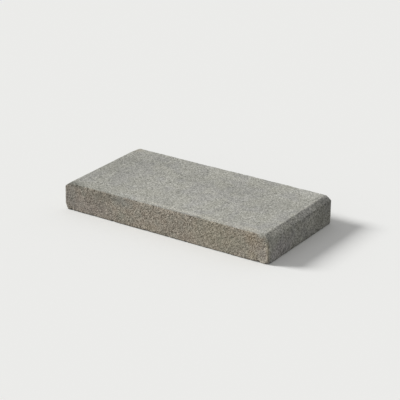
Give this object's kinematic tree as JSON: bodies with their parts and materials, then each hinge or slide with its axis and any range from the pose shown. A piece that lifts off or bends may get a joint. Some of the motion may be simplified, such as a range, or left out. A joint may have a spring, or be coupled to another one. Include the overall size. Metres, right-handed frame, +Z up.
{
  "type": "concrete pillar cap",
  "caption": "Flat rectangular concrete pillar cap with a shallow chamfer over each short end, worn arrises and a chipped foot.",
  "frame": {"origin": "centre of the underside, where the cap beds on the pillar", "axes": "+X along the length, +Y across the width towards the back long face, +Z up out of the top face"},
  "size_m": [0.6, 0.3, 0.074],
  "materials": {
    "concrete": "weathered dry-cast concrete: fine-grained light grey on the moulded faces, coarse open brown grain on the two long faces"
  },
  "bodies": {
    "root": {"pillar_cap": "concrete"}
  },
  "joints": []
}
